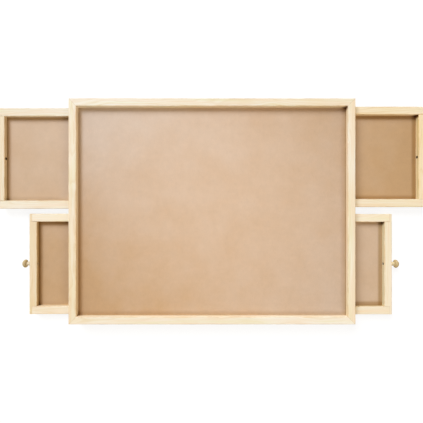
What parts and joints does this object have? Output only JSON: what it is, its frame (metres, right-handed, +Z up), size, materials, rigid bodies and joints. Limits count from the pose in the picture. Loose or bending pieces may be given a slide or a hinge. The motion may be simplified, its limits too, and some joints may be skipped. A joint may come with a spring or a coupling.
{
  "type": "jigsaw puzzle table",
  "caption": "Low wooden jigsaw puzzle table: a rimmed work board on a pine frame, with trays that slide out from under both short ends by turned knobs.",
  "frame": {"origin": "on the floor under the middle of the frame, which is the bottom centre of the whole part as stored", "axes": "+X along the table's length to the right, +Y to its back, +Z up"},
  "size_m": [1.3941, 0.693, 0.056],
  "materials": {
    "pine": "bare sanded pine, clear matt",
    "fibreboard": "smooth kraft-brown fibreboard, matt",
    "hardboard": "smooth brown hardboard, matt",
    "turned_pine": "turned pine, clear satin",
    "steel": "plain steel, dulled",
    "rubber": "matt black"
  },
  "bodies": {
    "table": {"front_long_rail": "pine", "back_long_rail": "pine", "left_end_rail": "pine", "right_end_rail": "pine", "work_board": "fibreboard", "centre_beam": "pine", "front_cross_beam": "pine", "back_cross_beam": "pine", "front_runner": "pine", "back_runner": "pine", "centre_runner": "pine", "corner_brads": "steel", "runner_screws": "steel", "rubber_feet": "rubber"},
    "back_left_drawer": {"back_left_drawer_front": "pine", "back_left_drawer_outer_side": "pine", "back_left_drawer_inner_side": "pine", "back_left_drawer_back": "pine", "back_left_drawer_bottom": "hardboard", "back_left_knob": "turned_pine", "back_left_knob_screw": "steel", "back_left_drawer_brads": "steel"},
    "back_right_drawer": {"back_right_drawer_front": "pine", "back_right_drawer_outer_side": "pine", "back_right_drawer_inner_side": "pine", "back_right_drawer_back": "pine", "back_right_drawer_bottom": "hardboard", "back_right_knob": "turned_pine", "back_right_knob_screw": "steel", "back_right_drawer_brads": "steel"},
    "front_left_drawer": {"front_left_drawer_front": "pine", "front_left_drawer_outer_side": "pine", "front_left_drawer_inner_side": "pine", "front_left_drawer_back": "pine", "front_left_drawer_bottom": "hardboard", "front_left_knob": "turned_pine", "front_left_knob_screw": "steel", "front_left_drawer_brads": "steel"},
    "front_right_drawer": {"front_right_drawer_front": "pine", "front_right_drawer_outer_side": "pine", "front_right_drawer_inner_side": "pine", "front_right_drawer_back": "pine", "front_right_drawer_bottom": "hardboard", "front_right_knob": "turned_pine", "front_right_knob_screw": "steel", "front_right_drawer_brads": "steel"}
  },
  "joints": [
    {"name": "back_left_slide", "type": "slide", "parent": "table", "child": "back_left_drawer", "axis": [-1, 0, 0], "range_m": [-0.2333, 0.1167]},
    {"name": "back_right_slide", "type": "slide", "parent": "table", "child": "back_right_drawer", "axis": [1, 0, 0], "range_m": [-0.2304, 0.1196]},
    {"name": "front_left_slide", "type": "slide", "parent": "table", "child": "front_left_drawer", "axis": [-1, 0, 0], "range_m": [-0.132, 0.218]},
    {"name": "front_right_slide", "type": "slide", "parent": "table", "child": "front_right_drawer", "axis": [1, 0, 0], "range_m": [-0.1236, 0.2264]}
  ]
}
